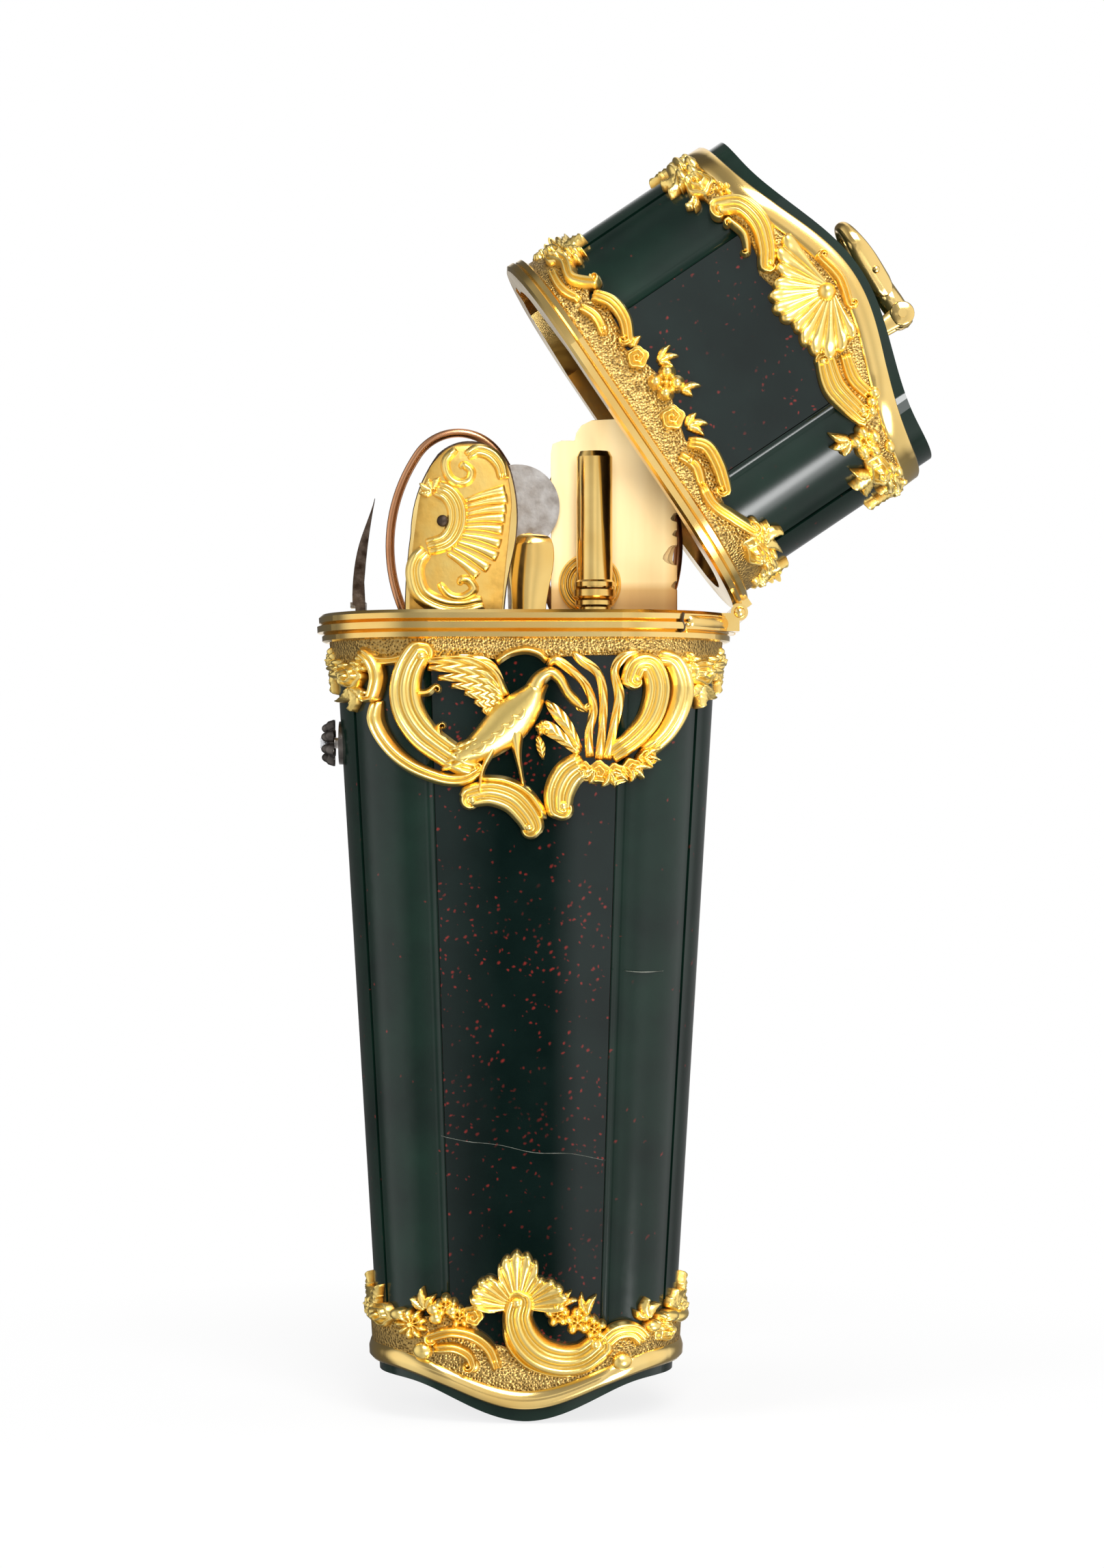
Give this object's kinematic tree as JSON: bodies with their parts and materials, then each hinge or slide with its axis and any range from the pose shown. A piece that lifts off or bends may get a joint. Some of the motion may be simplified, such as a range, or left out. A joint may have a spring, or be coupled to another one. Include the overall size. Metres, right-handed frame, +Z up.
{
  "type": "toiletry case",
  "caption": "Tapering upright stone case in pierced gold scroll mounts, with a hinged lid open at the side and small instruments standing in it.",
  "frame": {"origin": "centre of the small flat at the lowest point of the foot", "axes": "+Z up along the case, +X across it towards the lid hinge, front facing -Y"},
  "size_m": [0.0568, 0.0244, 0.117],
  "materials": {
    "bloodstone": "polished, dark green with red flecks",
    "gold": "chased, polished and stippled",
    "lining": "dark lining",
    "steel": "worn and pitted",
    "dark_steel": "dark, tarnished",
    "dark_silver": "blackened silver",
    "silver": "cut silver",
    "jewel": "faceted",
    "rose_gold": "polished",
    "ivory": "smooth, aged"
  },
  "bodies": {
    "case": {"case_panel_front": "bloodstone", "case_panel_back": "bloodstone", "case_panel_left": "bloodstone", "case_panel_right": "bloodstone", "case_panel_front_left": "bloodstone", "case_panel_front_right": "bloodstone", "case_panel_back_left": "bloodstone", "case_panel_back_right": "bloodstone", "case_rim": "gold", "case_hinge_knuckles": "gold", "hinge_pin": "steel", "case_liner": "lining", "base_stone": "bloodstone", "upper_cage_mount": "gold", "lower_cage_mount": "gold", "foot_rivets": "gold", "divider_front": "lining", "divider_back": "lining", "button_collar": "dark_silver"},
    "lid": {"lid_panel_front": "bloodstone", "lid_panel_back": "bloodstone", "lid_panel_left": "bloodstone", "lid_panel_right": "bloodstone", "lid_panel_front_left": "bloodstone", "lid_panel_front_right": "bloodstone", "lid_panel_back_left": "bloodstone", "lid_panel_back_right": "bloodstone", "lid_rim": "gold", "lid_hinge_knuckle": "gold", "lid_liner": "lining", "lid_top_stone": "bloodstone", "lid_lower_cage_mount": "gold", "lid_upper_cage_mount": "gold", "bow_lugs": "gold", "bow_pin": "gold"},
    "bow": {"suspension_bow": "gold"},
    "catch": {"catch_spring": "steel", "button_rosette": "silver", "button_jewel": "jewel"},
    "pick": {"hooked_pick": "dark_steel"},
    "scissors": {"scissor_bow_right": "rose_gold", "scissor_blade_right": "steel", "scissor_screw": "steel"},
    "scissor_left": {"scissor_bow_left": "rose_gold", "scissor_blade_left": "steel"},
    "knife": {"knife_front_scale": "gold", "knife_back_scale": "gold", "knife_liners": "dark_steel", "knife_blade": "steel", "knife_back_spring": "steel", "knife_pins": "dark_steel"},
    "spatula": {"spatula": "steel"},
    "spoon": {"ear_spoon": "gold"},
    "pencil": {"pencil_barrel": "gold"},
    "pencil_cap": {"pencil_cap": "gold"},
    "tablets": {"tablet_rivet": "gold", "tablet_tongue": "gold"},
    "leaf_front": {"tablet_leaf_front": "ivory"},
    "leaf_middle": {"tablet_leaf_middle": "ivory"},
    "leaf_back": {"tablet_leaf_back": "ivory"}
  },
  "joints": [
    {"name": "lid_hinge", "type": "hinge", "parent": "case", "child": "lid", "pos_m": [0.0195, 0, 0.07347], "axis": [0, 1, 0], "range_deg": [-56, 50]},
    {"name": "button_press", "type": "slide", "parent": "case", "child": "catch", "axis": [1, 0, 0], "range_m": [0, 0.0004], "stiffness_N_per_m": 300},
    {"name": "bow_fold", "type": "hinge", "parent": "lid", "child": "bow", "pos_m": [0.03467, 0, 0.10119], "axis": [0, 1, 0], "range_deg": [0, 150]},
    {"name": "pick_lift", "type": "slide", "parent": "case", "child": "pick", "axis": [0, 0, 1], "range_m": [0, 0.045]},
    {"name": "scissors_lift", "type": "slide", "parent": "case", "child": "scissors", "axis": [0, 0, 1], "range_m": [0, 0.014]},
    {"name": "scissors_open", "type": "hinge", "parent": "scissors", "child": "scissor_left", "pos_m": [0.0007, 0.0045, 0.0574], "axis": [0, -1, 0], "range_deg": [0, 5]},
    {"name": "knife_lift", "type": "slide", "parent": "case", "child": "knife", "axis": [0, 0, 1], "range_m": [0, 0.014]},
    {"name": "spatula_lift", "type": "slide", "parent": "case", "child": "spatula", "axis": [0, 0, 1], "range_m": [0, 0.014]},
    {"name": "spoon_lift", "type": "slide", "parent": "case", "child": "spoon", "axis": [0, 0, 1], "range_m": [0, 0.014]},
    {"name": "pencil_lift", "type": "slide", "parent": "case", "child": "pencil", "axis": [0, 0, 1], "range_m": [0, 0.014]},
    {"name": "pencil_cap_pull", "type": "slide", "parent": "pencil", "child": "pencil_cap", "axis": [0, 0, 1], "range_m": [0, 0.012]},
    {"name": "tablets_lift", "type": "slide", "parent": "case", "child": "tablets", "axis": [0, 0, 1], "range_m": [0, 0.014]},
    {"name": "leaf_front_fan", "type": "hinge", "parent": "tablets", "child": "leaf_front", "pos_m": [0.0059, 0.001, 0.0763], "axis": [0, 1, 0], "range_deg": [-30, 0]},
    {"name": "leaf_middle_fan", "type": "hinge", "parent": "tablets", "child": "leaf_middle", "pos_m": [0.0059, 0.001, 0.0763], "axis": [0, 1, 0], "range_deg": [-30, 0]},
    {"name": "leaf_back_fan", "type": "hinge", "parent": "tablets", "child": "leaf_back", "pos_m": [0.0059, 0.001, 0.0763], "axis": [0, 1, 0], "range_deg": [-30, 0]}
  ]
}
